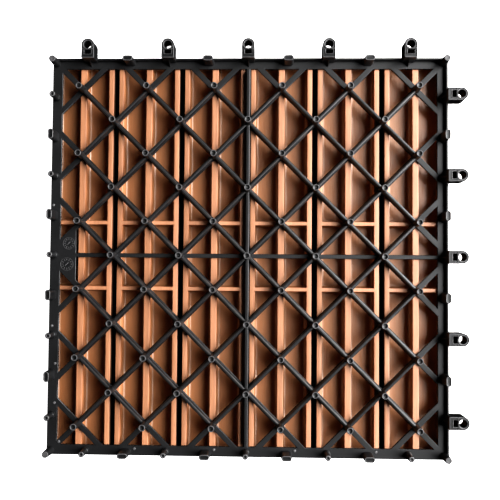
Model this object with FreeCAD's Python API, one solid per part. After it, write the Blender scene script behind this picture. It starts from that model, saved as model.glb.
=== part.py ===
import FreeCAD, Part
import math
import os

from FreeCAD import Vector

# Interlocking deck tile, lying face down: the walking face is on z = 0 and the feet point up.
# The origin is the centre of the tile's module, on the walking face. Sizes are in millimetres.

# Module and slats
module = 300.0              # pitch from one laid tile to the next
slat_count = 6
slat_gap = 4.0              # open joint between slats, and between neighbouring tiles
slat_height = 11.0
slat_wall = 3.4
slat_rib = 4.0              # rib down the middle of each slat
slat_floor = 2.0            # thickness under the walking face
slat_cross_rib = 2.2
slat_bay = 49.2             # middle bay, from one cross rib's centre to the other's
slat_draft = 0.45           # how far a pocket narrows on each side from mouth to floor
slat_edge_chamfer = 1.0     # along both long edges of the walking face

# Flat layer of the moulded grid
web_width = 7.4             # flat frame around the edge
web_thickness = 1.8
strip_width = 4.2           # diagonal strips
strap_width = 3.2           # cross strap along y = 0
bar_width = 3.2             # upright bar along x = 0
plate_setback = 3.5         # date plate's edge, outside the outermost row of pegs

# What stands up on the flat layer
rib_height = 3.4
rib_top_width = 1.7
bar_top_width = 2.4
lip_thickness = 1.6

# Pegs on the lattice
overall_height = 25.0
peg_base_diameter = 5.4
peg_top_diameter = 4.8
peg_dimple_diameter = 2.8
peg_dimple_depth = 0.9
peg_sides = 8               # flat sides around a peg, as there are too many to make each one round

# Feet, pins and loops along the edges
edge_pitch = 29.7           # from one edge station to the next
corner_inset = 2.9          # corner foot's centre, in from the tile's edge
corner_base_diameter = 5.7
wide_foot_inset = 2.6
wide_foot_base_width = 4.8
wide_foot_top_width = 3.6
wide_foot_stretch = 3.8     # how much longer a wide foot is than it is wide
wide_foot_sides = 6
pin_inset = 3.4
pin_diameter = 4.4
pin_seat_diameter = 5.4
pin_seat_taper = 0.3        # how much narrower the seat is at its top
pin_seat_height = 3.2
loop_width = 9.4
loop_hole_diameter = 5.8
loop_slot_length = 5.0      # across the loop
loop_slot_width = 3.0       # along the loop
loop_slot_bridge = 1.05     # material left between slot and hole
loop_slot_floor = 1.5       # material left under the slot
loop_root_length = 2.5      # how far the loop's root stands on its own web
loop_clearance = 0.3        # between a loop and the neighbour's web under it
fin_length = 3.0
fin_height = 7.5
fin_thickness = 0.8

# Keys under the grid that stand in slots in the slats' middle ribs
key_width = 1.8
key_length = 7.0
key_depth = 5.0
key_side_clearance = 0.1
key_end_clearance = 0.5

# Worked out from the sizes above
half = (module - slat_gap) / 2
slat_pitch = module / slat_count
slat_width = slat_pitch - slat_gap
lattice_pitch = slat_pitch / 2
web_top = slat_height + web_thickness
rib_top = web_top + rib_height
inner_edge = half - web_width
web_middle = half - web_width / 2
peg_rows = int((inner_edge - peg_base_diameter / 2) / lattice_pitch)
edge_rows = int((half - corner_inset - loop_width) / edge_pitch)
pin_line = half - pin_inset
loop_hole_centre = module - pin_line
loop_root = half - loop_root_length
key_row = 2 + (slat_count + 1) % 2

up = Vector(0, 0, 1)
centre = Vector(0, 0, 0)


def block(x_range, y_range, z_range):
    """Box between two corners, each range being (low, high)."""
    size = [high - low for low, high in (x_range, y_range, z_range)]
    return Part.makeBox(*size, Vector(x_range[0], y_range[0], z_range[0]))


def turned(shape, angle):
    """Copy of a shape made for the +X side, turned about the tile's centre to another side."""
    copy = shape.copy()
    copy.rotate(centre, up, angle)
    return copy


def flat(corners):
    """Face through corners that lie in one plane."""
    return Part.Face(Part.makePolygon(corners + corners[:1]))


def prism(section, start, end):
    """Straight bar from start to end; section is a list of (sideways, height) points."""
    run = end - start
    side = up.cross(run).normalize()
    corners = [start + side * across + up * height for across, height in section]
    return flat(corners).extrude(run)


def ring(radius, z, stretch=0, sides=peg_sides):
    """Corners of a many-sided circle, with its halves moved apart along Y by the stretch."""
    corners = []
    for number in range(sides):
        angle = 2 * math.pi * (number + 0.5) / sides
        shift = math.copysign(stretch / 2, math.sin(angle))
        corners.append(Vector(radius * math.cos(angle), radius * math.sin(angle) + shift, z))
    return corners


def tapered(x, y, base_width, top_width, z_low, z_high, *shape):
    """Tapered many-sided post; shape is the stretch along Y and the number of sides."""
    base = ring(base_width / 2, z_low, *shape)
    top = ring(top_width / 2, z_high, *shape)
    faces = [flat(base), flat(top)]
    faces += [flat([base[number - 1], base[number], top[number], top[number - 1]])
              for number in range(len(base))]
    solid = Part.Solid(Part.Shell(faces))
    solid.translate(Vector(x, y, 0))
    return solid


def dimpled_peg():
    """Tapered peg on the origin, from the slats' level up, with a pit in its top."""
    peg = tapered(0, 0, peg_base_diameter, peg_top_diameter, slat_height, overall_height)
    rim = ring(peg_dimple_diameter / 2, overall_height)[::2]
    deepest = Vector(0, 0, overall_height - peg_dimple_depth)
    faces = [flat(rim)]
    faces += [flat([rim[number - 1], rim[number], deepest]) for number in range(len(rim))]
    return peg.cut(Part.Solid(Part.Shell(faces)))


def web_frame():
    """Flat square frame that covers the ends of the slats."""
    plate = block((-half, half), (-half, half), (slat_height, web_top))
    opening = (-inner_edge, inner_edge)
    return plate.cut(block(opening, opening, (slat_height - 1, web_top + 1)))


def diagonal_lines():
    """Centre line of each diagonal: its offset along X and its direction's sign."""
    for row in range(-peg_rows, peg_rows + 1):
        for slope in (1, -1):
            yield 2 * lattice_pitch * row, slope


def diagonal_ends(offset, slope, limit):
    """Ends of the line y = slope * (x - offset) inside a square of the given half size."""
    low = max(-limit, offset - limit)
    high = min(limit, offset + limit)
    return [Vector(x, slope * (x - offset), 0) for x in (low, high)]


def border_strips():
    """Flat strips of the lattice, from the frame to the outermost pegs on each diagonal."""
    side = strip_width / 2
    section = [(-side, slat_height), (side, slat_height), (side, web_top), (-side, web_top)]
    strips = []
    for offset, slope in diagonal_lines():
        outer = diagonal_ends(offset, slope, web_middle)
        inner = diagonal_ends(offset, slope, peg_rows * lattice_pitch)
        strips += [prism(section, *ends) for ends in zip(outer, inner)]
    return strips


def ridge_section(base_width, top_width):
    """Section of an upright rib that narrows upwards."""
    base = base_width / 2
    top = top_width / 2
    return [(-base, slat_height), (base, slat_height), (top, rib_top), (-top, rib_top)]


def diagonal_ribs():
    """Upright ribs between the first and the last peg of each diagonal."""
    section = ridge_section(strip_width, rib_top_width)
    limit = peg_rows * lattice_pitch
    ribs = []
    for offset, slope in diagonal_lines():
        start, end = diagonal_ends(offset, slope, limit)
        if (end - start).Length > lattice_pitch:
            ribs.append(prism(section, start, end))
    return ribs


def middle_bars():
    """Upright bar along x = 0, flat at its ends to let a neighbour's loop come over the middle
    pin, and flat strap along y = 0, from the date plate to the frame."""
    side = bar_width / 2
    end = pin_line - loop_width / 2 - loop_clearance
    bar = prism(ridge_section(bar_width, bar_top_width), Vector(0, -end, 0), Vector(0, end, 0))
    flat_ends = [block((-side, side), y_range, (slat_height, web_top))
                 for y_range in ((-web_middle, -end), (end, web_middle))]
    strap = block((-plate_edge(), web_middle), (-strap_width / 2, strap_width / 2),
                  (slat_height, web_top))
    return [bar, strap] + flat_ends


def plate_edge():
    """Distance of the date plate's straight edge from the tile's middle."""
    return peg_rows * lattice_pitch + plate_setback


def date_plate():
    """Gusset that fills the lattice's last half cell on the -X side, between two strips."""
    reach = (peg_rows + 1) * lattice_pitch
    outline = [Vector(-x, sign * (reach - x), slat_height)
               for x, sign in ((plate_edge(), 1), (web_middle, 1), (web_middle, -1),
                               (plate_edge(), -1))]
    return flat(outline).extrude(up * web_thickness)


def lattice_nodes():
    """Places of the pegs, where the diagonals cross."""
    rows = range(-peg_rows, peg_rows + 1)
    return [Vector(column * lattice_pitch, row * lattice_pitch, 0)
            for column in rows for row in rows if (column + row) % 2 == 0]


def lattice_pegs():
    """One tapered peg on each crossing of the lattice."""
    peg = dimpled_peg()
    return [peg.translated(node) for node in lattice_nodes()]


def corner_feet():
    """Plain peg at each corner of the frame."""
    place = half - corner_inset
    return [tapered(x, y, corner_base_diameter, peg_top_diameter, slat_height, overall_height)
            for x in (-place, place) for y in (-place, place)]


def wide_foot(station):
    """Long foot on the +X side, at a distance along the side."""
    return tapered(half - wide_foot_inset, station, wide_foot_base_width, wide_foot_top_width,
                   slat_height, overall_height, wide_foot_stretch, wide_foot_sides)


def pin(station):
    """Round pin on the +X side; the wider seat at its root centres a neighbour's loop."""
    seat_top = web_top + pin_seat_height
    seat = tapered(pin_line, station, pin_seat_diameter, pin_seat_diameter - pin_seat_taper,
                   slat_height, seat_top)
    shank = Part.makeCylinder(pin_diameter / 2, overall_height - seat_top,
                              Vector(pin_line, station, seat_top))
    return seat.fuse(shank)


def loop(station):
    """Upright eye on the +X side that a neighbour's pin drops into, with a fin behind its root."""
    side = loop_width / 2
    bottom = web_top + loop_clearance
    turns = [math.radians(degrees) for degrees in (-90, -45, 0, 45, 90)]
    tip = [Vector(loop_hole_centre + side * math.cos(turn), side * math.sin(turn), bottom)
           for turn in turns]
    outline = [Vector(half, -side, bottom)] + tip + [Vector(half, side, bottom)]
    eye = flat(outline).extrude(up * (overall_height - bottom))
    root = block((loop_root, half), (-side, side), (slat_height, overall_height))
    hole = Part.makeCylinder(loop_hole_diameter / 2, overall_height,
                             Vector(loop_hole_centre, 0, 0))
    slot_end = loop_hole_centre - loop_hole_diameter / 2 - loop_slot_bridge
    slot_side = loop_slot_length / 2
    slot = block((slot_end - loop_slot_width, slot_end), (-slot_side, slot_side),
                 (bottom + loop_slot_floor, overall_height + 1))
    fin_foot = Vector(loop_root - fin_length, -fin_thickness / 2, slat_height)
    fin = [fin_foot, fin_foot + Vector(fin_length, 0, 0),
           fin_foot + Vector(fin_length, 0, web_thickness + fin_height),
           fin_foot + Vector(0, 0, web_thickness)]
    fin = flat(fin).extrude(Vector(0, fin_thickness, 0))
    whole = eye.fuse([root, fin]).cut([hole, slot])
    whole.translate(Vector(0, station, 0))
    return whole


def lip():
    """Upright stiffening lip along the +X side."""
    return block((half - lip_thickness, half), (-half, half), (slat_height, rib_top))


def edge_features():
    """Feet on all four sides, with loops on +X and +Y where -X and -Y have pins."""
    features = [turned(lip(), 0), turned(lip(), 90)]
    for row in range(-edge_rows, edge_rows + 1):
        station = row * edge_pitch
        for angle in (0, 90, 180, 270):
            if row % 2:
                features.append(turned(wide_foot(station), angle))
            elif angle < 180:
                features.append(turned(loop(station), angle))
            else:
                features.append(turned(pin(station), angle))
    return features


def keys():
    """Blades under the grid, below a peg row, that hold each slat by its middle rib."""
    row = key_row * lattice_pitch
    side = key_width / 2
    return [block((x - side, x + side), (y - key_length / 2, y + key_length / 2),
                  (slat_height - key_depth, web_top))
            for x in slat_centres() for y in (-row, row)]


def base_grid():
    """The black moulding: frame, lattice, pegs, feet, loops and keys in one solid."""
    pieces = border_strips() + diagonal_ribs() + middle_bars() + [date_plate()]
    pieces += lattice_pegs() + corner_feet() + edge_features() + keys()
    return web_frame().multiFuse(pieces).removeSplitter()


def slat_centres():
    """X of each slat's middle line."""
    return [(number - (slat_count - 1) / 2) * slat_pitch for number in range(slat_count)]


def pocket(x_range, y_range):
    """Hollow under a slat, wider at its mouth than at its floor."""
    wires = []
    for inset, z in ((slat_draft, slat_floor), (0, slat_height)):
        x_low, x_high = x_range[0] + inset, x_range[1] - inset
        y_low, y_high = y_range[0] + inset, y_range[1] - inset
        corners = [Vector(x_low, y_low, z), Vector(x_high, y_low, z),
                   Vector(x_high, y_high, z), Vector(x_low, y_high, z)]
        wires.append(Part.makePolygon(corners + corners[:1]))
    return Part.makeLoft(wires, True, True)


def pocket_ranges():
    """Channels across a slat, and bays along it."""
    wall = slat_width / 2 - slat_wall
    across = [(-wall, -slat_rib / 2), (slat_rib / 2, wall)]
    rib_low = slat_bay / 2 - slat_cross_rib / 2
    rib_high = slat_bay / 2 + slat_cross_rib / 2
    end = half - slat_wall
    along = [(-end, -rib_high), (-rib_low, rib_low), (rib_high, end)]
    return [(x_range, y_range) for x_range in across for y_range in along]


def slat(x):
    """Hollow slat with its walking face's long edges broken, open towards the grid."""
    body = block((-slat_width / 2, slat_width / 2), (-half, half), (0, slat_height))
    long_edges = [edge for edge in body.Edges
                  if edge.BoundBox.ZMax < slat_height / 2 and edge.BoundBox.YLength > half]
    body = body.makeChamfer(slat_edge_chamfer, long_edges)
    hollows = [pocket(*ranges) for ranges in pocket_ranges()]
    row = key_row * lattice_pitch
    side = key_width / 2 + key_side_clearance
    end = key_length / 2 + key_side_clearance
    bottom = slat_height - key_depth - key_end_clearance
    for y in (-row, row):
        hollows.append(block((-side, side), (y - end, y + end), (bottom, slat_height + 1)))
    body = body.cut(hollows)
    body.translate(Vector(x, 0, 0))
    return body


def write(name, shape):
    """Save one piece of the tile as its own file."""
    shape.exportStep("parts/" + name + ".step")
    print(name, len(shape.Solids), shape.isValid(), round(shape.Volume, 1))


os.makedirs("parts", exist_ok=True)
write("base_grid", base_grid())
for number, x in enumerate(slat_centres(), 1):
    write("slat_" + str(number), slat(x))
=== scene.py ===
import bmesh
import bpy
import math
import numpy as np
from mathutils import Matrix


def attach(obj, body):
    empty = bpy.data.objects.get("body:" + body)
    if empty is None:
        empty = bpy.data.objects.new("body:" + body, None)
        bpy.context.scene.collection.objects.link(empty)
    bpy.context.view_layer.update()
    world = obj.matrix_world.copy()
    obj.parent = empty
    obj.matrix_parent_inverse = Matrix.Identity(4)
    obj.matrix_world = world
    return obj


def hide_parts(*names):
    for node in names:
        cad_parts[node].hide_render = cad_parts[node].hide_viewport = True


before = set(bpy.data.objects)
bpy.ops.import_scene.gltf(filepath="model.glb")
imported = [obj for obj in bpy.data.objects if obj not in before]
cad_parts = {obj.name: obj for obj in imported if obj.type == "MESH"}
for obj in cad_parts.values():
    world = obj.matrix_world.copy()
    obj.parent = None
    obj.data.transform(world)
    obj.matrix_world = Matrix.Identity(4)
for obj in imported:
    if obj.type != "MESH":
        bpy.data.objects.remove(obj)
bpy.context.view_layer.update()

# Lengths are in millimetres until a mesh is made, and z is height above the walking face.
MM = 0.001
MODULE = 300.0              # pitch from one laid tile to the next
HALF = 148.0                # half the tile's side, without its loops

# Slats
SLAT_COUNT = 6
SLAT_PITCH = MODULE / SLAT_COUNT
SLAT_HALF = 23.0            # half width of a slat
SLAT_WALL = 3.4
SLAT_RIB = 4.0              # rib down the middle of a slat
CROSS_RIB = (23.5, 25.7)    # both sides of a cross rib, from the slat's middle

# Keys under the grid that stand in the slats' middle ribs
KEY_ROW = 75.0              # distance from the tile's middle, along a slat
KEY_HALF = (0.9, 3.5)       # half a key's width and length
KEY_CLEARANCE = 0.1         # on each side in the slot

# Heights of the grid
SLAT_TOP = 11.0
WEB_TOP = 12.8
RIB_TOP = 16.2
TOP = 25.0
ROOT = 11.3                 # where a post starts, inside the sheet
FOOT = 12.82                # where it comes out of the sheet

# Plan of the grid
NODE_PITCH = 25.0           # pegs along each axis
OUTER_ROW = 5               # outermost row of pegs, counted from the middle
EDGE_PITCH = 29.7           # feet, pins and loops along a side
OUTER_STATION = 4           # outermost of them, counted from the middle
PIN_LINE = 144.6
LOOP_LINE = MODULE - PIN_LINE
INNER_EDGE = 140.6          # inner edge of the flat frame
PLATE_EDGE = 128.5          # inner edge of the date plate
BAR_END = 139.6             # end of the upright bar along x = 0

# Loops
LOOP_HALF = 4.7             # half width of a loop
LOOP_LOW = WEB_TOP + 0.3    # underside of a loop
LOOP_START = HALF - 2.5     # end of a loop's block that is nearest to the tile's middle
HOLE_RADIUS = 2.85
BRIDGE = 3.35               # from the hole's centre to the middle of the wall behind it
LOOP_SLOT = (148.5, 151.5)  # both ends of the slot behind that wall


# Surfaces as arrays

def grid_faces(rows, columns, wrap_rows=False, wrap_columns=True):
    """Quads of a rows x columns sheet of points, row by row; their normals point along the
    column direction crossed with the row direction."""
    r = np.arange(rows if wrap_rows else rows - 1)
    c = np.arange(columns if wrap_columns else columns - 1)
    r, c = np.meshgrid(r, c, indexing="ij")
    next_r, next_c = (r + 1) % rows, (c + 1) % columns
    corners = [r * columns + c, r * columns + next_c,
               next_r * columns + next_c, next_r * columns + c]
    return np.stack(corners, -1).reshape(-1, 4)


def joined(parts):
    """One (points, faces) pair from several."""
    starts = np.cumsum([0] + [len(points) for points, _ in parts[:-1]])
    faces = [quads + start for (_, quads), start in zip(parts, starts)]
    return np.concatenate([points for points, _ in parts]), np.concatenate(faces)


def copies(part, places, turns=None):
    """The part at each place: every point turned about Z by that place's angle, then moved there."""
    points, faces = part
    places = np.asarray(places, float).reshape(-1, 3)
    turns = np.zeros(len(places)) if turns is None else np.asarray(turns, float)
    cos, sin = np.cos(turns)[:, None], np.sin(turns)[:, None]
    x = points[:, 0] * cos - points[:, 1] * sin
    y = points[:, 0] * sin + points[:, 1] * cos
    z = np.broadcast_to(points[:, 2], x.shape)
    every = np.stack([x, y, z], -1) + places[:, None]
    shifts = np.arange(len(places))[:, None, None] * len(points)
    return every.reshape(-1, 3), (faces[None] + shifts).reshape(-1, 4)


def lathed(profile, sides=28, stretch=0.0):
    """Surface of revolution: each (radius, height) of the profile, carried round the circle
    (radius cos a, radius sin a), with the halves above and below Y = 0 moved apart by the stretch."""
    profile = np.asarray(profile, float)
    angle = (np.arange(sides) + 0.5) * 2 * np.pi / sides
    x = profile[:, :1] * np.cos(angle)
    y = profile[:, :1] * np.sin(angle) + np.sign(np.sin(angle)) * stretch / 2
    z = np.repeat(profile[:, 1:], sides, 1)
    return np.stack([x, y, z], -1).reshape(-1, 3), grid_faces(len(profile), sides)


def run(half_profile, path):
    """Bar along a path in the XY plane: a mirrored half section of (half width, height), offset
    sideways at each corner along its mitre, and closed by caps of quads across the section."""
    half_profile = np.asarray(half_profile, float)
    path = np.asarray(path, float)
    step = np.diff(path, axis=0)
    step /= np.linalg.norm(step, axis=1)[:, None]
    side = np.stack([-step[:, 1], step[:, 0]], -1)
    before, after = np.vstack([side[:1], side]), np.vstack([side, side[-1:]])
    mitre = (before + after) / (1 + (before * after).sum(1))[:, None]
    across = np.concatenate([-half_profile[:, 0], half_profile[::-1, 0]])
    height = np.concatenate([half_profile[:, 1], half_profile[::-1, 1]])
    flat = path[:, None] + mitre[:, None] * across[None, :, None]
    up = np.broadcast_to(height[None, :, None], flat.shape[:2] + (1,))
    points = np.concatenate([flat, up], -1).reshape(-1, 3)
    ring, count = len(across), len(half_profile)
    low = np.arange(count - 1)
    cap = np.stack([low, low + 1, ring - 2 - low, ring - 1 - low], -1)
    last = (len(path) - 1) * ring
    return points, np.concatenate([grid_faces(len(path), ring)[:, ::-1], cap, cap[:, ::-1] + last])


def pad(outline, layers):
    """Pillow on a convex outline: each layer is (inset, height), and the inset pulls every point
    towards the middle by that share of its distance; 1 closes the layer to a point."""
    outline = np.asarray(outline, float)
    layers = np.asarray(layers, float)
    middle = outline.mean(0)
    flat = middle + (outline - middle)[None] * (1 - layers[:, 0])[:, None, None]
    up = np.broadcast_to(layers[:, 1][:, None, None], flat.shape[:2] + (1,))
    points = np.concatenate([flat, up], -1).reshape(-1, 3)
    return points, grid_faces(len(layers), len(outline))


def oblong(width, length):
    """Four corners of a rectangle, anticlockwise."""
    return np.array([(-1, -1), (1, -1), (1, 1), (-1, 1)]) * (width / 2, length / 2)


def finished(name, part, material, node, crease=40):
    """Blender object of the part, welded, smooth up to the crease angle, in place of its CAD node."""
    points, faces = part
    mesh = bpy.data.meshes.new(name)
    mesh.from_pydata((points * MM).tolist(), [], faces.tolist())
    work = bmesh.new()
    work.from_mesh(mesh)
    bmesh.ops.remove_doubles(work, verts=work.verts, dist=2e-7)
    work.to_mesh(mesh)
    work.free()
    mesh.shade_smooth()
    mesh.set_sharp_from_angle(angle=math.radians(crease))
    mesh.materials.append(material)
    piece = bpy.data.objects.new(name, mesh)
    bpy.context.scene.collection.objects.link(piece)
    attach(piece, "root")
    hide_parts(node)


# Flat lattice sheet

# Half width of the sheet along each kind of side, measured from the cell's outline
SIDE_WIDTHS = {"strip": 2.1, "middle": 1.6, "web": HALF - INNER_EDGE, "plate": HALF - PLATE_EDGE}


def clipped(cell, normal, limit, kind):
    """Cell cut by the line normal . p = limit, which becomes a side of that kind."""
    kept = []
    for (start, side), (end, _) in zip(cell, cell[1:] + cell[:1]):
        low, high = limit - normal @ start, limit - normal @ end
        if low > -1e-9:
            kept.append((start, side))
        if (low > 1e-9) != (high > 1e-9) and abs(low - high) > 1e-9 and min(abs(low), abs(high)) > 1e-9:
            cut = start + (end - start) * low / (low - high)
            kept.append((cut, kind if low > 0 else side))
    named = []
    for corner, side in kept:
        if on_line(corner, normal, limit) and named and on_line(named[-1][0], normal, limit):
            named[-1] = (named[-1][0], kind)
        named.append((corner, side))
    if len(named) > 2 and on_line(named[-1][0], normal, limit) and on_line(named[0][0], normal, limit):
        named[-1] = (named[-1][0], kind)
    return named


def on_line(corner, normal, limit):
    """Whether a corner lies on the cutting line."""
    return abs(normal @ corner - limit) < 1e-9


def lattice_cells():
    """Every opening of the lattice as a convex cell of (corner, kind of the side that follows)."""
    axes = [np.array(axis, float) for axis in ((1, 0), (-1, 0), (0, 1), (0, -1))]
    reach = OUTER_ROW + 1
    cells = []
    for i in range(-reach, reach + 1):
        for j in range(-reach, reach + 1):
            if (i + j) % 2 == 0:
                continue
            middle = np.array([i, j]) * NODE_PITCH
            diamond = [(middle + axis * NODE_PITCH, "strip")
                       for axis in (axes[0], axes[2], axes[1], axes[3])]
            halves = [diamond]
            if i == 0:
                halves = [clipped(diamond, axes[0], 0, "middle"), clipped(diamond, axes[1], 0, "middle")]
            if j == 0:
                halves = [clipped(diamond, axes[2], 0, "middle"), clipped(diamond, axes[3], 0, "middle")]
            for cell in halves:
                for axis in axes:
                    kind = "plate" if i == -OUTER_ROW and j == 0 and axis[0] < 0 else "web"
                    cell = clipped(cell, axis, HALF, kind)
                if len(cell) > 2:
                    cells.append(cell)
    return cells


def cell_ring(cell):
    """Sheet round one opening: from the cell's outline on top, over a rounded edge and down the wall
    to the outline underneath; each corner is where its two offset lines cross."""
    corners = np.array([corner for corner, _ in cell])
    widths = np.array([SIDE_WIDTHS[kind] for _, kind in cell])
    along = np.roll(corners, -1, 0) - corners
    along /= np.linalg.norm(along, axis=1)[:, None]
    inward = np.stack([-along[:, 1], along[:, 0]], -1)
    reach = (inward * corners).sum(1)
    turn = np.linspace(0, np.pi / 2, 5)
    edge, heel = 0.5, 0.25
    back = np.concatenate([[edge + 0.2], edge * (1 - np.sin(turn)), heel * (1 - np.cos(turn)), [heel + 0.4]])
    height = np.concatenate([[WEB_TOP], WEB_TOP - edge * (1 - np.cos(turn)),
                             SLAT_TOP + heel * (1 - np.sin(turn)), [SLAT_TOP]])
    offset = widths[None] - back[:, None]
    offset = np.concatenate([np.zeros((1, len(widths))), offset, np.zeros((1, len(widths)))])
    height = np.concatenate([[WEB_TOP], height, [SLAT_TOP]])
    target = reach + offset
    before = np.roll(inward, 1, 0)
    target_before = np.roll(target, 1, 1)
    cross = before[:, 0] * inward[:, 1] - before[:, 1] * inward[:, 0]
    x = (target_before * inward[:, 1] - target * before[:, 1]) / cross
    y = (target * before[:, 0] - target_before * inward[:, 0]) / cross
    z = np.repeat(height[:, None], len(cell), 1)
    points = np.stack([x, y, z], -1).reshape(-1, 3)
    count = len(cell)
    faces = [grid_faces(len(height), count)]
    last = (len(height) - 1) * count
    for number, (_, kind) in enumerate(cell):
        if kind in ("web", "plate"):
            following = (number + 1) % count
            faces.append(np.array([[following, number, last + number, last + following]]))
    return points, np.concatenate(faces)


def flat_lattice():
    """The sheet that lies on the slats: frame, diagonal strips, cross straps and date plate."""
    return joined([cell_ring(cell) for cell in lattice_cells()])


# What stands on the sheet

def upright(foot, crown, dome, arris=0.25):
    """Half section of an upright: slanted flank, quarter-round arris, and a crown domed on a circle
    whose radius is the dome and that rises 0.03 mm above the ribs' height."""
    across = np.linspace(crown - arris, 0, 6)
    height = RIB_TOP + 0.03 - dome + np.sqrt(dome ** 2 - across ** 2)
    turn = np.linspace(0, np.pi / 2, 4)[:-1]
    rounded = zip(crown - arris * (1 - np.cos(turn)), height[0] - arris * (1 - np.sin(turn)))
    flank = [(foot, SLAT_TOP + 0.4), (foot, FOOT), (foot - 0.08, WEB_TOP + 0.1)]
    return flank + list(rounded) + list(zip(across, height))


def diagonal_ribs():
    """Narrow upright on every diagonal, between its first and last peg."""
    limit = OUTER_ROW * NODE_PITCH
    section = upright(1.6, 1.12, 2.6)
    ribs = []
    for row in range(-OUTER_ROW, OUTER_ROW + 1):
        offset = 2 * NODE_PITCH * row
        for slope in (1, -1):
            x = np.array([max(-limit, offset - limit), min(limit, offset + limit)])
            if x[1] - x[0] > NODE_PITCH:
                ribs.append(run(section, np.stack([x, slope * (x - offset)], -1)))
    return joined(ribs)


def middle_bar():
    """Upright bar on the strap along x = 0."""
    return run(upright(1.35, 1.2, 9.0), [(0, -BAR_END), (0, BAR_END)])


def border_lip():
    """Lip along the two sides that carry loops, mitred at their corner."""
    section = upright(0.8, 0.75, 1.4, 0.15)
    line = HALF - 0.8
    return run(section, [(line, -HALF), (line, line), (-HALF, line)])


def lattice_nodes():
    """Places of the pegs."""
    rows = np.arange(-OUTER_ROW, OUTER_ROW + 1)
    i, j = np.meshgrid(rows, rows, indexing="ij")
    kept = (i + j) % 2 == 0
    return np.stack([i[kept] * NODE_PITCH, j[kept] * NODE_PITCH, np.zeros(kept.sum())], -1)


def pegs():
    """Tapered pegs with a ring-shaped top round a dished pit that has a gate mark in its middle."""
    flank = [(0, ROOT), (2.75, ROOT), (2.95, FOOT), (2.78, 13.0), (2.69, 13.4), (2.44, 24.6)]
    top = [(2.4, 24.82), (2.3, 24.95), (2.14, TOP), (1.92, TOP), (1.76, 24.93), (1.66, 24.75)]
    pit = [(1.45, 24.3), (0.8, 24.08), (0.42, 24.05), (0.36, 24.22), (0.2, 24.3), (0, 24.32)]
    return copies(lathed(flank + top + pit), lattice_nodes())


def corner_feet():
    """Plain tapered feet at the corners, their tops slightly dished."""
    place = HALF - 2.9
    flank = [(0, ROOT), (2.85, ROOT), (2.87, FOOT), (2.82, 13.2), (2.44, 24.5)]
    top = [(2.36, 24.82), (2.18, 24.97), (1.95, TOP), (1.5, 24.95), (0, 24.88)]
    corners = [(x, y, 0) for x in (-place, place) for y in (-place, place)]
    return copies(lathed(flank + top), corners)


def stations(parity):
    """Distances along a side of the edge features with an even or odd number."""
    rows = np.arange(-OUTER_STATION, OUTER_STATION + 1)
    return rows[rows % 2 == parity] * EDGE_PITCH


def round_sides(part, distance, along, quarter_turns):
    """Copies of a part made for the +X side, at distances along it, turned to other sides."""
    points, faces = part
    row = copies((points + (distance, 0, 0), faces), [(0, y, 0) for y in along])
    quarters = np.asarray(quarter_turns) * np.pi / 2
    return copies(row, np.zeros((len(quarters), 3)), quarters)


def wide_feet():
    """Long feet with round ends: a stretched surface of revolution with a recess in its top."""
    flank = [(0, ROOT), (2.38, ROOT), (2.42, FOOT), (2.36, 13.2), (2.06, 24.3), (2.02, 24.72)]
    top = [(1.86, 24.95), (1.7, TOP), (1.48, TOP), (1.34, 24.93)]
    recess = [(1.22, 24.72), (0.6, 24.66), (0, 24.66)]
    foot = lathed(flank + top + recess, sides=32, stretch=3.5)
    return round_sides(foot, HALF - 2.6, stations(1), range(4))


def pins():
    """Round pins on a wider seat, on the two sides without loops."""
    seat = [(0, ROOT), (2.66, ROOT), (2.7, FOOT), (2.66, 13.2), (2.58, 15.7), (2.5, 15.92), (2.28, 16.0)]
    shank = [(2.2, 16.12), (2.18, 24.3), (2.12, 24.6), (1.9, 24.9)]
    top = [(1.7, TOP), (1.2, TOP), (1.05, 24.92), (0.9, 24.7), (0.3, 24.62), (0, 24.62)]
    return round_sides(lathed(seat + shank + top), PIN_LINE, stations(0), (2, 3))


# Loops

def collared_plate(inner, outer, collar, rim=0.75, dip=0.45):
    """Thick plate round a hole, as one closed ring: for every direction a section runs up the outer
    wall, over a rim, a lower field and the hole's collar, and down the hole. A section point is the
    inner point plus a share of the way out, and a share is a width over that way's length, capped."""
    low, top = LOOP_LOW, TOP
    way = np.linalg.norm(outer - inner, axis=1)
    sections = []
    for width, cap, height in ((0.0, 0, low + 0.3), (0.0, 0, top - 0.35), (0.1, 0.04, top - 0.1),
                               (0.3, 0.1, top), (rim, 0.28, top), (rim + 0.2, 0.36, top - dip)):
        sections.append((1 - np.minimum(width / way, cap), height))
    for width, cap, height in ((collar + 0.2, 0.52, top - dip), (collar, 0.44, top), (0.3, 0.14, top),
                               (0.1, 0.06, top - 0.1), (0.0, 0, top - 0.35), (0.0, 0, low + 0.3),
                               (0.25, 0.12, low)):
        sections.append((np.minimum(width / way, cap), height))
    sections.append((1 - np.minimum(0.3 / way, 0.12), low))
    share = np.stack([share for share, _ in sections])
    height = np.array([height for _, height in sections])
    flat = inner[None] + (outer - inner)[None] * share[..., None]
    up = np.broadcast_to(height[:, None, None], flat.shape[:2] + (1,))
    points = np.concatenate([flat, up], -1).reshape(-1, 3)
    return points, grid_faces(len(height), len(inner), wrap_rows=True)


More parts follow.
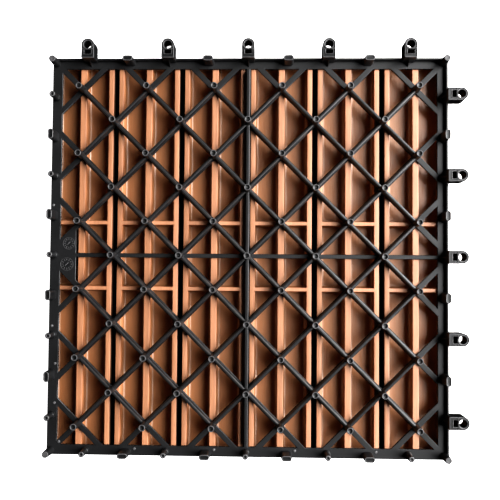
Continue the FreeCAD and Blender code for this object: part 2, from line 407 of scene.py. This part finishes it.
def loop_eye():
    """Half of the loop round the pin hole: the hole is a circle, and the outside a half circle
    joined to straight sides and to the straight line between hole and slot."""
    corner = math.atan2(LOOP_HALF, -BRIDGE)
    angle = np.concatenate([np.linspace(-corner, -np.pi / 2, 7)[:-1],
                            np.linspace(-np.pi / 2, np.pi / 2, 25),
                            np.linspace(np.pi / 2, corner, 7)[1:],
                            np.linspace(corner, 2 * np.pi - corner, 13)[1:-1]])
    cos, sin = np.cos(angle), np.sin(angle)
    reach = np.full(len(angle), LOOP_HALF)
    sides = (cos < -1e-6) & (np.abs(sin) * BRIDGE >= -cos * LOOP_HALF - 1e-9)
    reach[sides] = LOOP_HALF / np.abs(sin[sides])
    ends = (cos < -1e-6) & ~sides
    reach[ends] = BRIDGE / -cos[ends]
    centre = np.array([LOOP_LINE, 0])
    direction = np.stack([cos, sin], -1)
    return collared_plate(centre + direction * HOLE_RADIUS, centre + direction * reach[:, None], collar=0.85)


def rounded_rectangle(x_range, y_range, radius):
    """Rectangle with round corners, ten points to each corner, anticlockwise."""
    middles = [(x_range[1] - radius, y_range[1] - radius), (x_range[0] + radius, y_range[1] - radius),
               (x_range[0] + radius, y_range[0] + radius), (x_range[1] - radius, y_range[0] + radius)]
    arcs = []
    for quarter, middle in enumerate(middles):
        turn = np.linspace(0, np.pi / 2, 10) + quarter * np.pi / 2
        arcs.append(np.array(middle) + radius * np.stack([np.cos(turn), np.sin(turn)], -1))
    return np.concatenate(arcs)


def loops():
    """Upright eyes on two sides, each with a blind slot behind its hole, a wall at its root and a
    thin fin behind that."""
    slot = rounded_rectangle(LOOP_SLOT, (-2.5, 2.5), 0.25)
    block = rounded_rectangle((LOOP_START, LOOP_LINE - BRIDGE), (-LOOP_HALF, LOOP_HALF), 0.5)
    heel = collared_plate(slot, block, collar=0.5)
    floor_low, floor_high = LOOP_LOW + 0.1, LOOP_LOW + 1.5
    slot_floor = pad(slot, [(1, floor_low), (-0.06, floor_low), (-0.06, floor_high),
                            (0.2, floor_high - 0.08), (1, floor_high - 0.1)])
    root = pad(oblong(2.3, 9.2) + (146.7, 0), [(1, ROOT), (0, ROOT), (0, 13.6), (1, 13.6)])
    foot, wall, low, high = 142.4, 145.8, WEB_TOP - 0.4, 20.3
    slope = np.array([(foot, low), (wall, low), (wall, high), (foot, WEB_TOP + 0.1)])
    points, faces = pad(slope, [(1, -0.4), (0.06, -0.4), (0, -0.32), (0, 0.32), (0.06, 0.4), (1, 0.4)])
    fin = points[:, [0, 2, 1]], faces[:, ::-1]
    return round_sides(joined([loop_eye(), heel, slot_floor, root, fin]), 0, stations(0), (0, 1))


# Small marks and keys

def date_dials():
    """Two low dials on the plate: a raised ring, twelve ticks, and a disc with a slanted bar."""
    base, top = WEB_TOP - 0.15, WEB_TOP + 0.22
    tick_top, bar_top = top + 0.06, top + 0.26
    ticks = 12
    parts = []
    for x, y, radius, turn in ((-134.0, 8.7, 4.6, 0.8), (-135.3, -6.9, 5.0, 0.75)):
        ring = lathed([(radius, base), (radius, top - 0.08), (radius - 0.1, top), (radius - 0.4, top),
                       (radius - 0.5, top - 0.08), (radius - 0.5, base), (radius, base)], 40)
        disc = lathed([(0, base), (radius * 0.4, base), (radius * 0.4, base + 0.2), (0, base + 0.2)])
        points, faces = pad(oblong(radius * 0.27, 0.5),
                            [(1, base), (0, base), (0, top), (0.15, tick_top), (1, tick_top)])
        tick = points + (radius * 0.68, 0, 0), faces
        bar = pad(oblong(radius * 0.7, 0.55),
                  [(1, base), (0, base), (0, bar_top - 0.06), (0.12, bar_top), (1, bar_top)])
        middle = np.array([x, y, 0])
        parts += [copies(ring, middle), copies(disc, middle), copies(bar, middle, [turn]),
                  copies(tick, np.tile(middle, (ticks, 1)), np.arange(ticks) * 2 * np.pi / ticks)]
    return joined(parts)


def ejector_marks():
    """Shallow round marks that the mould's pins left on the frame."""
    mark = lathed([(0, WEB_TOP - 0.2), (1.1, WEB_TOP - 0.2), (1.1, WEB_TOP + 0.1), (1.0, WEB_TOP + 0.25),
                   (0.8, WEB_TOP + 0.36), (0.5, WEB_TOP + 0.42), (0, WEB_TOP + 0.44)], 20)
    left = [(-146.0, 37.5, 0), (-145.6, -53.0, 0), (-142.8, -81.0, 0), (-142.8, -110.0, 0),
            (-139.0, -138.6, 0)]
    bottom = [(x, -143.0, 0) for x in (-82.5, -23.5, 36.0, 95.5)]
    return copies(mark, left + bottom)


def keys():
    """Blades under the sheet that stand in the slats' middle ribs."""
    width, length = 2 * KEY_HALF[0], 2 * KEY_HALF[1]
    blade = pad(oblong(width, length), [(1, 6.0), (0.06, 6.0), (0, 6.2), (0, 11.4), (1, 11.4)])
    return copies(blade, [(x, y, 0) for x in slat_middles() for y in (-KEY_ROW, KEY_ROW)])


# Slats

def both_sides(lines):
    """Lines on one side of zero, from the nearest to the furthest, and their mirror images."""
    return np.array([-line for line in reversed(lines)] + list(lines))


# Lines across and along a slat at which its walls, ribs and slots begin and end
SLOT_SIDE, SLOT_END = KEY_HALF[0] + KEY_CLEARANCE, KEY_HALF[1] + KEY_CLEARANCE
SLAT_X = both_sides([SLOT_SIDE, SLAT_RIB / 2, SLAT_HALF - SLAT_WALL, SLAT_HALF])
SLAT_Y = both_sides([*CROSS_RIB, KEY_ROW - SLOT_END, KEY_ROW + SLOT_END, HALF - SLAT_WALL, HALF])


def slat_middles():
    """X of each slat's middle line."""
    return (np.arange(SLAT_COUNT) - (SLAT_COUNT - 1) / 2) * SLAT_PITCH


def outline(xs, ys):
    """Points where the lines meet a rectangle's outline, anticlockwise."""
    bottom = np.stack([xs[:-1], np.full(len(xs) - 1, ys[0])], -1)
    right = np.stack([np.full(len(ys) - 1, xs[-1]), ys[:-1]], -1)
    top = np.stack([xs[:0:-1], np.full(len(xs) - 1, ys[-1])], -1)
    left = np.stack([np.full(len(ys) - 1, xs[0]), ys[:0:-1]], -1)
    return np.concatenate([bottom, right, top, left])


def inset_points(flat, xs, ys, inset, height):
    """Points moved inside a rectangle that is smaller by the inset on each side, at a height."""
    x = np.clip(flat[:, 0], xs[0] + inset, xs[-1] - inset)
    y = np.clip(flat[:, 1], ys[0] + inset, ys[-1] - inset)
    return np.stack([x, y, np.full(len(x), height)], -1)


def wall_and_floor(xs, ys, layers):
    """Rings of a rectangle's outline through (inset, height) layers, and a sheet across the last."""
    rim = outline(xs, ys)
    wall = np.concatenate([inset_points(rim, xs, ys, *layer) for layer in layers])
    x, y = np.meshgrid(xs, ys)
    sheet = inset_points(np.stack([x.ravel(), y.ravel()], -1), xs, ys, *layers[-1])
    return joined([(wall, grid_faces(len(layers), len(rim))),
                   (sheet, grid_faces(len(ys), len(xs), wrap_columns=False))])


def slat_body():
    """Slat on its walking face: a face with rectangular openings, a drafted pocket or the slot for a
    key under each, and an outer wall that rounds into the walking face by a quarter circle."""
    channels, bays = [(1, 2), (5, 6)], [(1, 4), (5, 6), (7, 10)]
    pockets = [(x, y) for x in channels for y in bays]
    slots = [((3, 4), (2, 3)), ((3, 4), (8, 9))]
    turn = np.linspace(0.08, np.pi / 2, 11)
    floor, fillet, draft = 2.0, 2.3, 0.33
    hollow = [(0, SLAT_TOP), (0.05, 10.985), (0.15, 10.93), (0.24, 10.82), (0.29, 10.66)]
    hollow += [(draft + fillet * (1 - math.cos(a)), floor + fillet - fillet * math.sin(a)) for a in turn]
    solid = np.ones((len(SLAT_Y) - 1, len(SLAT_X) - 1), bool)
    parts = []
    for opening in pockets + slots:
        (x_low, x_high), (y_low, y_high) = opening
        solid[y_low:y_high, x_low:x_high] = False
        layers = hollow if opening in pockets else [(0, SLAT_TOP), (0, 5.5)]
        parts.append(wall_and_floor(SLAT_X[x_low:x_high + 1], SLAT_Y[y_low:y_high + 1], layers))
    rim = 0.3
    x, y = np.meshgrid(SLAT_X, SLAT_Y)
    top = inset_points(np.stack([x.ravel(), y.ravel()], -1), SLAT_X, SLAT_Y, rim, SLAT_TOP)
    faces = grid_faces(len(SLAT_Y), len(SLAT_X), wrap_columns=False)[solid.ravel()]
    edge = 1.2
    turn = np.linspace(0, np.pi / 2, 6)
    layers = [(rim, SLAT_TOP), (0.17, 10.97), (0.07, 10.9), (0, 10.7), (0, edge)]
    layers += [(edge * (1 - math.cos(a)), edge * (1 - math.sin(a))) for a in turn[1:]]
    points, outside = wall_and_floor(SLAT_X, SLAT_Y, layers)
    return joined(parts + [(top, faces), (points, outside[:, ::-1])])


# Materials

def node_group(name, inputs, outputs):
    """Empty shader node group with named sockets; inputs is a list of (name, type, value)."""
    group = bpy.data.node_groups.new(name, "ShaderNodeTree")
    for label, kind, value in inputs:
        socket = group.interface.new_socket(label, in_out="INPUT", socket_type=kind)
        socket.default_value = value
    for label, kind in outputs:
        group.interface.new_socket(label, in_out="OUTPUT", socket_type=kind)
    return group, group.nodes.new("NodeGroupInput"), group.nodes.new("NodeGroupOutput")


def noise(tree, vector, scale, detail, roughness=0.55):
    """Noise texture on a vector; its value runs from 0 to 1."""
    texture = tree.nodes.new("ShaderNodeTexNoise")
    texture.inputs["Detail"].default_value = detail
    texture.inputs["Roughness"].default_value = roughness
    tree.links.new(vector, texture.inputs["Vector"])
    if isinstance(scale, (int, float)):
        texture.inputs["Scale"].default_value = scale
    else:
        tree.links.new(scale, texture.inputs["Scale"])
    return texture.outputs["Fac"]


def maths(tree, operation, first, second):
    """Math node on two sockets or numbers."""
    node = tree.nodes.new("ShaderNodeMath")
    node.operation = operation
    for socket, value in zip(node.inputs, (first, second)):
        if isinstance(value, (int, float)):
            socket.default_value = value
        else:
            tree.links.new(value, socket)
    return node.outputs[0]


def spread(tree, value, low, high, to_low=0.0, to_high=1.0):
    """Map Range node from one interval to another, clamped."""
    node = tree.nodes.new("ShaderNodeMapRange")
    for label, number in (("From Min", low), ("From Max", high), ("To Min", to_low), ("To Max", to_high)):
        node.inputs[label].default_value = number
    tree.links.new(value, node.inputs["Value"])
    return node.outputs["Result"]


def blended(tree, share, first, second):
    """Mix of two colours by a share."""
    node = tree.nodes.new("ShaderNodeMix")
    node.data_type = "RGBA"
    tree.links.new(share, node.inputs["Factor"])
    for socket, value in ((node.inputs["A"], first), (node.inputs["B"], second)):
        if isinstance(value, tuple):
            socket.default_value = value
        else:
            tree.links.new(value, socket)
    return node.outputs["Result"]


def mottle_group():
    """Uneven surface of a moulding: broad patches, fine speckle, and both as one height."""
    inputs = [("Vector", "NodeSocketVector", (0, 0, 0)), ("Patch Scale", "NodeSocketFloat", 40.0),
              ("Speckle Scale", "NodeSocketFloat", 900.0)]
    outputs = [(name, "NodeSocketFloat") for name in ("Patches", "Speckle", "Height")]
    group, start, end = node_group("mottle", inputs, outputs)
    patches = noise(group, start.outputs["Vector"], start.outputs["Patch Scale"], 3.0)
    speckle = noise(group, start.outputs["Vector"], start.outputs["Speckle Scale"], 4.0, 0.6)
    height = maths(group, "ADD", maths(group, "MULTIPLY", patches, 0.35),
                   maths(group, "MULTIPLY", speckle, 0.65))
    group.links.new(spread(group, patches, 0.32, 0.68), end.inputs["Patches"])
    group.links.new(spread(group, speckle, 0.3, 0.7), end.inputs["Speckle"])
    group.links.new(height, end.inputs["Height"])
    return group


def streak_group():
    """Flow streaks along Y: noise on coordinates squeezed along the length, in two widths."""
    inputs = [("Vector", "NodeSocketVector", (0, 0, 0)), ("Scale", "NodeSocketFloat", 260.0),
              ("Length", "NodeSocketFloat", 14.0)]
    outputs = [(name, "NodeSocketFloat") for name in ("Streaks", "Fibres")]
    group, start, end = node_group("streaks", inputs, outputs)
    squeeze = group.nodes.new("ShaderNodeVectorMath")
    squeeze.operation = "DIVIDE"
    combine = group.nodes.new("ShaderNodeCombineXYZ")
    combine.inputs["X"].default_value = 1.0
    combine.inputs["Z"].default_value = 1.0
    group.links.new(start.outputs["Length"], combine.inputs["Y"])
    group.links.new(start.outputs["Vector"], squeeze.inputs[0])
    group.links.new(combine.outputs["Vector"], squeeze.inputs[1])
    streaks = noise(group, squeeze.outputs["Vector"], start.outputs["Scale"], 3.0)
    finer = maths(group, "MULTIPLY", start.outputs["Scale"], 5.0)
    fibres = noise(group, squeeze.outputs["Vector"], finer, 2.0)
    group.links.new(spread(group, streaks, 0.3, 0.7), end.inputs["Streaks"])
    group.links.new(spread(group, fibres, 0.3, 0.7), end.inputs["Fibres"])
    return group


def new_material(name):
    """Material with its Principled BSDF and the Object coordinates socket."""
    material = bpy.data.materials.new(name)
    material.use_nodes = True
    tree = material.node_tree
    place = tree.nodes.new("ShaderNodeTexCoord")
    return material, tree, tree.nodes["Principled BSDF"], place.outputs["Object"]


def placed_group(tree, group, vector, **values):
    """Group node in a material, with numbers set on its named inputs."""
    node = tree.nodes.new("ShaderNodeGroup")
    node.node_tree = group
    tree.links.new(vector, node.inputs["Vector"])
    for label, value in values.items():
        node.inputs[label.replace("_", " ")].default_value = value
    return node


def relief(tree, height, distance, strength, shader):
    """Bump from a height in metres to the shader's normal."""
    bump = tree.nodes.new("ShaderNodeBump")
    bump.inputs["Distance"].default_value = distance
    bump.inputs["Strength"].default_value = strength
    tree.links.new(height, bump.inputs["Height"])
    tree.links.new(bump.outputs["Normal"], shader.inputs["Normal"])


def across_and_up(tree, vector):
    """X and Z of a vector, as two sockets."""
    split = tree.nodes.new("ShaderNodeSeparateXYZ")
    tree.links.new(vector, split.inputs["Vector"])
    return split.outputs["X"], split.outputs["Z"]


def black_moulding(name, mottle, wear_and_sheen_grey, crest, sleek, rough):
    """Satin black plastic: patchy sheen, a fine orange peel, a little pale dust in patches, and
    everything above the crest height in the paler grey of the third argument, partly wear and partly
    painted sheen; sleek and rough are the roughness below and above it."""
    material, tree, shader, place = new_material(name)
    skin = placed_group(tree, mottle, place, Patch_Scale=55.0, Speckle_Scale=1100.0)
    speckle = skin.outputs["Speckle"]
    base = blended(tree, skin.outputs["Patches"], (0.006, 0.0067, 0.0066, 1), (0.011, 0.011, 0.012, 1))
    dusty = blended(tree, maths(tree, "MULTIPLY", speckle, 0.35), base, (0.024, 0.0235, 0.026, 1))
    _, up = across_and_up(tree, place)
    # Paler grey above the crest height: partly wear, partly painted sheen.
    high = spread(tree, up, crest * MM, (crest + 0.2) * MM)
    wear_and_sheen = maths(tree, "MULTIPLY", high, spread(tree, speckle, 0.0, 0.8, 0.5, 1.0))
    wear_and_sheen_coloured = blended(tree, wear_and_sheen, dusty, (wear_and_sheen_grey, wear_and_sheen_grey * 0.98, wear_and_sheen_grey, 1))
    tree.links.new(wear_and_sheen_coloured, shader.inputs["Base Color"])
    satin = spread(tree, speckle, 0, 1, -0.06, 0.06)
    level = spread(tree, up, (crest - 0.1) * MM, crest * MM, sleek, rough)
    tree.links.new(maths(tree, "ADD", satin, level), shader.inputs["Roughness"])
    shader.inputs["IOR"].default_value = 1.6
    relief(tree, skin.outputs["Height"], 0.1 * MM, 0.4, shader)
    return material


def slat_composite(mottle, streaks):
    """Warm brown composite: streaks of flow along the slat, fine fibres, faint blotches, painted shade on
    the floors of the pockets, painted shade on the walls of the joints, and a pale sheen on the rims."""
    material, tree, shader, place = new_material("slat_composite")
    flow = placed_group(tree, streaks, place, Scale=230.0, Length=16.0)
    fibres = flow.outputs["Fibres"]
    skin = placed_group(tree, mottle, place, Patch_Scale=60.0, Speckle_Scale=1500.0)
    speckle = skin.outputs["Speckle"]
    across, up = across_and_up(tree, place)
    base = blended(tree, flow.outputs["Streaks"], (0.385, 0.15, 0.06, 1), (0.545, 0.235, 0.108, 1))
    blotches = maths(tree, "MULTIPLY", skin.outputs["Patches"], 0.3)
    blotched = blended(tree, blotches, base, (0.33, 0.13, 0.05, 1))
    fibred = blended(tree, maths(tree, "MULTIPLY", fibres, 0.25), blotched, (0.66, 0.34, 0.17, 1))
    # Painted shade: the pockets' floors turn a darker brown below 6.5 mm.
    pocket_shade = spread(tree, up, 6.5 * MM, 2.5 * MM)
    pocket_shaded = blended(tree, maths(tree, "MULTIPLY", pocket_shade, 0.65), fibred, (0.205, 0.106, 0.045, 1))
    joint_half = SLAT_PITCH / 2 - SLAT_HALF
    from_joint = maths(tree, "PINGPONG", across, SLAT_PITCH / 2 * MM)
    walls = spread(tree, from_joint, (joint_half + 0.6) * MM, (joint_half + 0.2) * MM)
    # Painted shade on the walls of the joints between the slats, below their rims; the tile's two outer
    # sides are left without it.
    inside = spread(tree, maths(tree, "ABSOLUTE", across, 0), (HALF - 8) * MM, (HALF - 9) * MM)
    below = spread(tree, up, (SLAT_TOP - 0.3) * MM, (SLAT_TOP - 1.3) * MM)
    joint_shade = maths(tree, "MULTIPLY", maths(tree, "MULTIPLY", walls, inside), below)
    joint_shaded = blended(tree, maths(tree, "MULTIPLY", joint_shade, 0.85), pocket_shaded, (0.03, 0.022, 0.016, 1))
    tree.links.new(joint_shaded, shader.inputs["Base Color"])
    rough = spread(tree, speckle, 0, 1, 0.34, 0.46)
    rim = spread(tree, up, (SLAT_TOP - 0.6) * MM, (SLAT_TOP - 0.2) * MM)
    tree.links.new(maths(tree, "ADD", rough, maths(tree, "MULTIPLY", rim, 0.2)), shader.inputs["Roughness"])
    tree.links.new(rim, shader.inputs["Coat Weight"])
    shader.inputs["Coat Roughness"].default_value = 0.62
    shader.inputs["Coat IOR"].default_value = 1.65
    shader.inputs["IOR"].default_value = 1.75
    height = maths(tree, "ADD", fibres, maths(tree, "MULTIPLY", speckle, 0.6))
    relief(tree, height, 0.1 * MM, 0.5, shader)
    return material


def pale_floor():
    """Plain pale floor."""
    material, _, shader, _ = new_material("pale_floor")
    shader.inputs["Base Color"].default_value = (0.9, 0.9, 0.9, 1)
    shader.inputs["Roughness"].default_value = 0.9
    shader.inputs["Emission Color"].default_value = (1, 1, 1, 1)
    shader.inputs["Emission Strength"].default_value = 1.0
    return material


def painted_shade_ground():
    """Dark sheet of painted shade: it stands in for the shaded ground under the tile that shows through the
    joints between the slats.
    """
    material, _, shader, _ = new_material("painted_shade_ground")
    shader.inputs["Base Color"].default_value = (0.012, 0.014, 0.009, 1)
    shader.inputs["Roughness"].default_value = 0.95
    return material


# Studio

def set_camera():
    """Camera that was matched to the photograph: its turn is a rotation vector in radians, and its
    place is in metres."""
    turn_vector = np.array([0.0349508, 0.0266131, 0.00695030])
    place = (0.0147425, -0.0119229, 0.486382)
    angle = np.linalg.norm(turn_vector)
    x, y, z = turn_vector / angle
    cross = np.array([(0, -z, y), (z, 0, -x), (-y, x, 0)])
    turn = np.eye(3) + math.sin(angle) * cross + (1 - math.cos(angle)) * cross @ cross
    data = bpy.data.cameras.new("camera")
    data.lens, data.sensor_width = 45.83, 36
    data.clip_start, data.clip_end = 0.01, 20
    camera = bpy.data.objects.new("camera", data)
    matrix = np.eye(4)
    matrix[:3, :3] = turn
    matrix[:3, 3] = place
    camera.matrix_world = Matrix(matrix.tolist())
    bpy.context.scene.collection.objects.link(camera)
    bpy.context.scene.camera = camera


def set_lamp():
    """Large soft lamp low on the right that faces the tile's middle."""
    data = bpy.data.lights.new("key_light", "AREA")
    data.shape = "DISK"
    data.size, data.energy = 1.8, 90
    lamp = bpy.data.objects.new("key_light", data)
    towards, distance = np.array([1.36, 0.26, 1.0]), 1.65
    z = towards / np.linalg.norm(towards)
    x = np.cross((0, 0, 1.0), z)
    x /= np.linalg.norm(x)
    matrix = np.eye(4)
    matrix[:3, :3] = np.stack([x, np.cross(z, x), z], -1)
    matrix[:3, 3] = distance * z
    lamp.matrix_world = Matrix(matrix.tolist())
    bpy.context.scene.collection.objects.link(lamp)


def set_surround():
    """Surround that is faint overhead, a little brighter near the horizon, dark below it, and plain
    white where the camera looks past the tile."""
    world = bpy.data.worlds.new("surround")
    world.use_nodes = True
    tree = world.node_tree
    faint = tree.nodes["Background"]
    faint.inputs["Color"].default_value = (0.93, 0.97, 1.0, 1)
    way = tree.nodes.new("ShaderNodeTexCoord")
    _, up = across_and_up(tree, way.outputs["Generated"])
    glow = spread(tree, up, 0.05, 0.25, 0.35, 0.006)
    above = spread(tree, up, -0.06, 0.0)
    tree.links.new(maths(tree, "MULTIPLY", glow, above), faint.inputs["Strength"])
    seen = tree.nodes.new("ShaderNodeBackground")
    seen.inputs["Color"].default_value = (1, 1, 1, 1)
    rays = tree.nodes.new("ShaderNodeLightPath")
    both = tree.nodes.new("ShaderNodeMixShader")
    tree.links.new(rays.outputs["Is Camera Ray"], both.inputs[0])
    tree.links.new(faint.outputs["Background"], both.inputs[1])
    tree.links.new(seen.outputs["Background"], both.inputs[2])
    tree.links.new(both.outputs["Shader"], tree.nodes["World Output"].inputs["Surface"])
    bpy.context.scene.world = world


def set_picture():
    """Plain colours with a little more contrast, as in the photograph."""
    settings = bpy.context.scene.view_settings
    settings.view_transform = "Standard"
    settings.look = "High Contrast"


def set_ground():
    """Pale floor, and on it a dark card of painted shade that only the joints between the slats show."""
    for name, half, height, material in (("floor", 3000, -0.4, pale_floor()),
                                         ("painted_shade_card", HALF - 1, -0.2, painted_shade_ground())):
        mesh = bpy.data.meshes.new(name)
        corners = [(x * MM, y * MM, height * MM) for x, y in oblong(2 * half, 2 * half).tolist()]
        mesh.from_pydata(corners, [], [(0, 1, 2, 3)])
        mesh.materials.append(material)
        ground = bpy.data.objects.new(name, mesh)
        bpy.context.scene.collection.objects.link(ground)
        ground.visible_diffuse = ground.visible_glossy = False


# Assembly

set_camera()
set_lamp()
set_surround()
set_picture()
set_ground()
mottle = mottle_group()
black = black_moulding("black_moulding", mottle, wear_and_sheen_grey=0.11, crest=24.7, sleek=0.42, rough=0.5)
flat = black_moulding("flat_moulding", mottle, wear_and_sheen_grey=0.026, crest=12.77, sleek=0.26, rough=0.52)
marked = black_moulding("marked_moulding", mottle, wear_and_sheen_grey=0.16, crest=12.92, sleek=0.45, rough=0.4)
crested = black_moulding("crested_moulding", mottle, wear_and_sheen_grey=0.03, crest=15.8, sleek=0.42, rough=0.37)
rubbed_and_sheen = black_moulding("rubbed_and_sheen_moulding", mottle, wear_and_sheen_grey=0.125, crest=24.7, sleek=0.42, rough=0.45)
brown = slat_composite(mottle, streak_group())

for name, shape, skin in (("lattice_sheet", flat_lattice(), flat),
                          ("diagonal_ribs", diagonal_ribs(), crested),
                          ("middle_bar", middle_bar(), crested),
                          ("border_lip", border_lip(), crested),
                          ("lattice_pegs", pegs(), rubbed_and_sheen),
                          ("corner_feet", corner_feet(), black),
                          ("wide_feet", wide_feet(), rubbed_and_sheen),
                          ("pins", pins(), rubbed_and_sheen),
                          ("loops", loops(), black),
                          ("date_dials", date_dials(), marked),
                          ("ejector_marks", ejector_marks(), marked),
                          ("keys", keys(), black)):
    finished(name, shape, skin, "base_grid")

points, faces = slat_body()
for number, middle in enumerate(slat_middles(), 1):
    finished("slat_%d_moulded" % number, (points + (middle, 0, 0), faces), brown,
             "slat_%d" % number)
